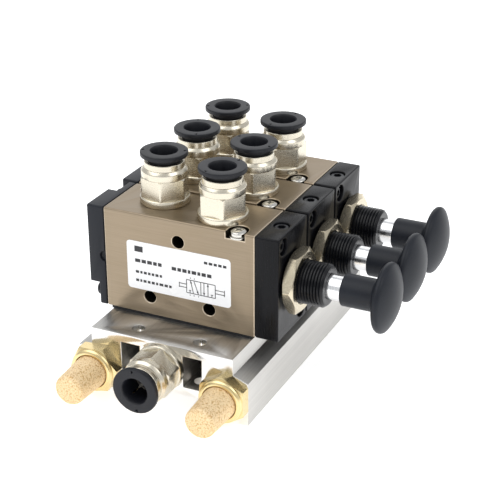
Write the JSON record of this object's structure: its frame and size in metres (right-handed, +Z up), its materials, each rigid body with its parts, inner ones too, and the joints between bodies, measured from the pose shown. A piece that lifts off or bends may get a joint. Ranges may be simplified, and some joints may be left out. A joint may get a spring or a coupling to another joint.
{
  "type": "hand-operated pneumatic valve manifold with mufflers",
  "caption": "Hand-pull spool valves side by side on an extruded manifold base, with push-in tube fittings and sintered bronze exhaust mufflers.",
  "frame": {"origin": "middle of the bank's bounding box, on the plane that its feet stand on", "axes": "+X from the rear caps to the pull knobs, +Y from the end with the mufflers and supply fitting to the plugged end, +Z up through the valve bodies"},
  "size_m": [0.1027, 0.115, 0.0757],
  "materials": {
    "base_aluminium": "milled and drawn, satin",
    "body_anodised": "brushed, champagne anodised",
    "label_film": "printed film",
    "black_cap": "moulded black",
    "black_collar": "black anodised, threaded",
    "rubber_black": "moulded",
    "screw_black": "black oxide",
    "screw_bright": "zinc plated",
    "nut_nickel": "nickel plated brass",
    "fitting_nickel": "nickel plated brass, turned",
    "ring_black": "moulded acetal",
    "rod_aluminium": "drawn, bright",
    "spool_aluminium": "turned",
    "knob_plastic": "moulded, fine texture",
    "spring_steel": "hard drawn",
    "muffler_brass": "turned and milled",
    "sintered_bronze": "sintered bronze beads, porous",
    "plug_steel": "zinc plated"
  },
  "bodies": {
    "root": {"manifold_base": "base_aluminium", "valve_gaskets": "rubber_black", "valve_body_1": "body_anodised", "valve_body_2": "body_anodised", "valve_body_3": "body_anodised", "valve_labels": "label_film", "rear_cap_1": "black_cap", "rear_cap_2": "black_cap", "rear_cap_3": "black_cap", "cap_gaskets": "rubber_black", "rear_cap_screws": "screw_black", "front_cover_screws": "screw_black", "spool_bumpers": "rubber_black", "front_cover_1": "black_cap", "front_cover_2": "black_cap", "front_cover_3": "black_cap", "threaded_collar_1": "black_collar", "threaded_collar_2": "black_collar", "threaded_collar_3": "black_collar", "lock_nut_1": "nut_nickel", "lock_nut_2": "nut_nickel", "lock_nut_3": "nut_nickel", "rod_seals": "rubber_black", "detent_set_screws": "screw_black", "detent_springs": "spring_steel", "detent_balls": "spring_steel", "valve_screws": "screw_bright", "fitting_1a": "fitting_nickel", "fitting_1b": "fitting_nickel", "fitting_2a": "fitting_nickel", "fitting_2b": "fitting_nickel", "fitting_3a": "fitting_nickel", "fitting_3b": "fitting_nickel", "fitting_supply": "fitting_nickel", "grip_rings": "spring_steel", "tube_seals": "rubber_black", "muffler_body_left": "muffler_brass", "muffler_body_right": "muffler_brass", "muffler_element_left": "sintered_bronze", "muffler_element_right": "sintered_bronze", "end_plugs": "plug_steel"},
    "pull_1": {"spool_1": "spool_aluminium", "spool_seals_1": "rubber_black", "pull_rod_1": "rod_aluminium", "pull_knob_1": "knob_plastic"},
    "pull_2": {"spool_2": "spool_aluminium", "spool_seals_2": "rubber_black", "pull_rod_2": "rod_aluminium", "pull_knob_2": "knob_plastic"},
    "pull_3": {"spool_3": "spool_aluminium", "spool_seals_3": "rubber_black", "pull_rod_3": "rod_aluminium", "pull_knob_3": "knob_plastic"},
    "ring_1a": {"release_ring_1a": "ring_black"},
    "ring_1b": {"release_ring_1b": "ring_black"},
    "ring_2a": {"release_ring_2a": "ring_black"},
    "ring_2b": {"release_ring_2b": "ring_black"},
    "ring_3a": {"release_ring_3a": "ring_black"},
    "ring_3b": {"release_ring_3b": "ring_black"},
    "ring_supply": {"release_ring_supply": "ring_black"}
  },
  "joints": [
    {"name": "pull_1_slide", "type": "slide", "parent": "root", "child": "pull_1", "axis": [-1, 0, 0], "range_m": [0, 0.0045]},
    {"name": "pull_2_slide", "type": "slide", "parent": "root", "child": "pull_2", "axis": [-1, 0, 0], "range_m": [0, 0.0045]},
    {"name": "pull_3_slide", "type": "slide", "parent": "root", "child": "pull_3", "axis": [-1, 0, 0], "range_m": [0, 0.0045]},
    {"name": "ring_1a_press", "type": "slide", "parent": "root", "child": "ring_1a", "axis": [0, 0, -1], "range_m": [0, 0.001], "stiffness_N_per_m": 400},
    {"name": "ring_1b_press", "type": "slide", "parent": "root", "child": "ring_1b", "axis": [0, 0, -1], "range_m": [0, 0.001], "stiffness_N_per_m": 400},
    {"name": "ring_2a_press", "type": "slide", "parent": "root", "child": "ring_2a", "axis": [0, 0, -1], "range_m": [0, 0.001], "stiffness_N_per_m": 400},
    {"name": "ring_2b_press", "type": "slide", "parent": "root", "child": "ring_2b", "axis": [0, 0, -1], "range_m": [0, 0.001], "stiffness_N_per_m": 400},
    {"name": "ring_3a_press", "type": "slide", "parent": "root", "child": "ring_3a", "axis": [0, 0, -1], "range_m": [0, 0.001], "stiffness_N_per_m": 400},
    {"name": "ring_3b_press", "type": "slide", "parent": "root", "child": "ring_3b", "axis": [0, 0, -1], "range_m": [0, 0.001], "stiffness_N_per_m": 400},
    {"name": "ring_supply_press", "type": "slide", "parent": "root", "child": "ring_supply", "axis": [0, 1, 0], "range_m": [0, 0.001], "stiffness_N_per_m": 400}
  ]
}
